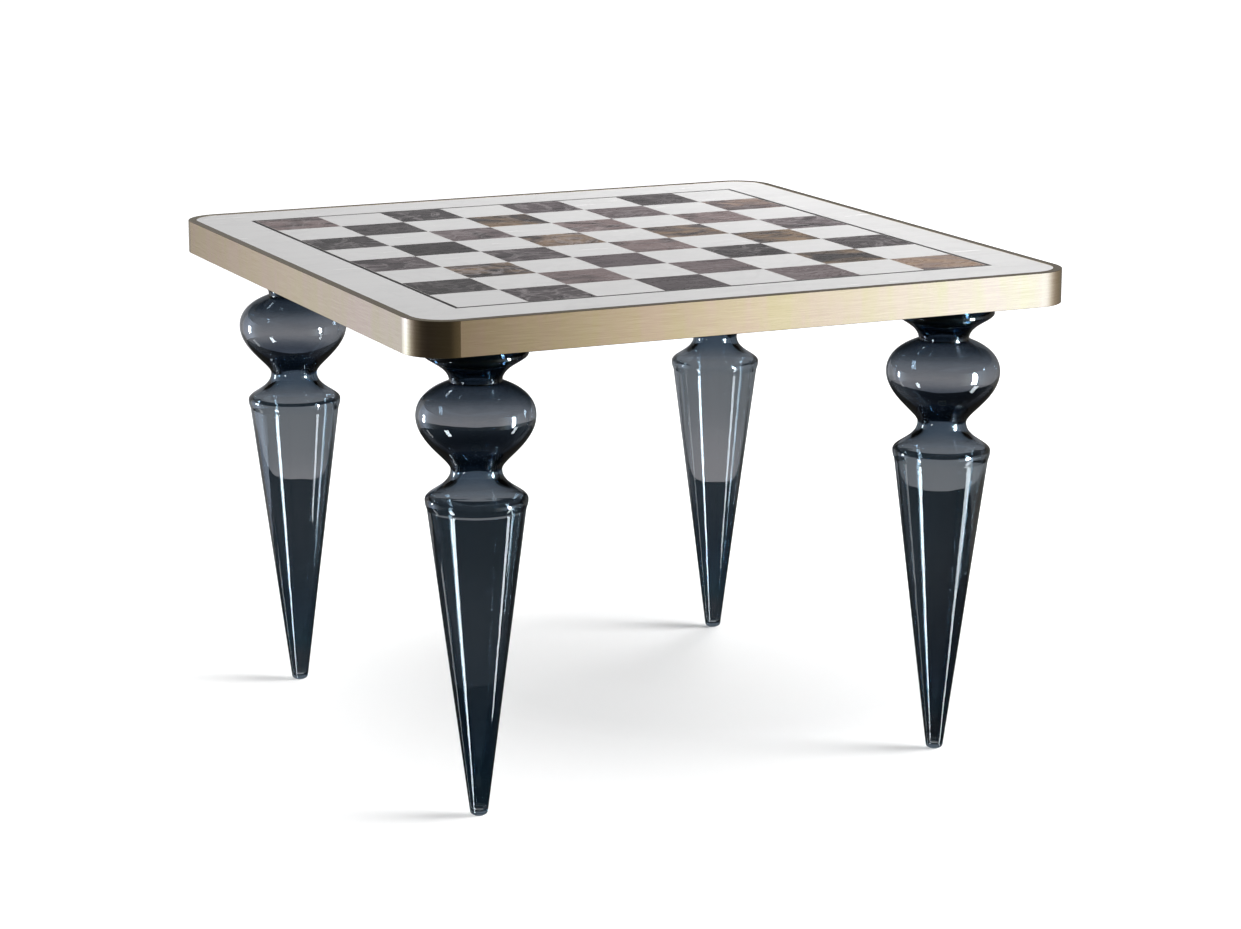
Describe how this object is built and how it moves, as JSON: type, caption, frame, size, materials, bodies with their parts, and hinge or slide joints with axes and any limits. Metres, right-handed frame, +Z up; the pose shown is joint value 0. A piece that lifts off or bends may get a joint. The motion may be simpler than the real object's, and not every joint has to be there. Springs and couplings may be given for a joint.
{
  "type": "chess table with inlaid board",
  "caption": "Square low table: inlaid stone chess board with a pale border in a brushed metal band, on hollow blown-glass baluster legs.",
  "frame": {"origin": "on the floor, under the middle of the table top", "axes": "+Z up through the middle of the top; +X and +Y along the sides of the square, the board's light corner squares lie at -X-Y and +X+Y"},
  "size_m": [1, 1, 0.725],
  "materials": {
    "brushed_band": "brushed champagne bronze, lengthwise grain",
    "plywood_core": "sealed birch plywood",
    "dark_laminate": "matt black laminate",
    "black_steel": "blackened screws",
    "white_marble": "polished white marble with faint veining",
    "dark_inlay": "polished near-black stone",
    "pale_resin": "polished pale resin",
    "dark_stone": "polished charcoal and purple-grey stone with veining",
    "smoked_glass": "blown smoky blue-grey glass",
    "turned_brass": "turned, satin",
    "black_rubber": "matt",
    "zinc_steel": "zinc plated",
    "black_plate": "powder coated, fine texture",
    "clear_pad": "clear soft plastic"
  },
  "bodies": {
    "root": {"edge_band": "brushed_band", "core_panel": "plywood_core", "underside_panel": "dark_laminate", "band_screws": "black_steel", "border_strip_front": "white_marble", "border_strip_right": "white_marble", "border_strip_rear": "white_marble", "border_strip_left": "white_marble", "inlay_line_front": "dark_inlay", "inlay_line_right": "dark_inlay", "inlay_line_rear": "dark_inlay", "inlay_line_left": "dark_inlay", "joint_resin": "pale_resin", "dark_squares_rank_1": "dark_stone", "light_squares_rank_1": "white_marble", "dark_squares_rank_2": "dark_stone", "light_squares_rank_2": "white_marble", "dark_squares_rank_3": "dark_stone", "light_squares_rank_3": "white_marble", "dark_squares_rank_4": "dark_stone", "light_squares_rank_4": "white_marble", "dark_squares_rank_5": "dark_stone", "light_squares_rank_5": "white_marble", "dark_squares_rank_6": "dark_stone", "light_squares_rank_6": "white_marble", "dark_squares_rank_7": "dark_stone", "light_squares_rank_7": "white_marble", "dark_squares_rank_8": "dark_stone", "light_squares_rank_8": "white_marble", "glass_leg_front_left": "smoked_glass", "leg_cap_front_left": "turned_brass", "mounting_plate_front_left": "black_plate", "glass_leg_front_right": "smoked_glass", "leg_cap_front_right": "turned_brass", "mounting_plate_front_right": "black_plate", "glass_leg_rear_left": "smoked_glass", "leg_cap_rear_left": "turned_brass", "mounting_plate_rear_left": "black_plate", "glass_leg_rear_right": "smoked_glass", "leg_cap_rear_right": "turned_brass", "mounting_plate_rear_right": "black_plate", "leg_gaskets": "black_rubber", "leg_studs": "zinc_steel", "plate_bolts": "zinc_steel", "foot_pads": "clear_pad"}
  },
  "joints": []
}
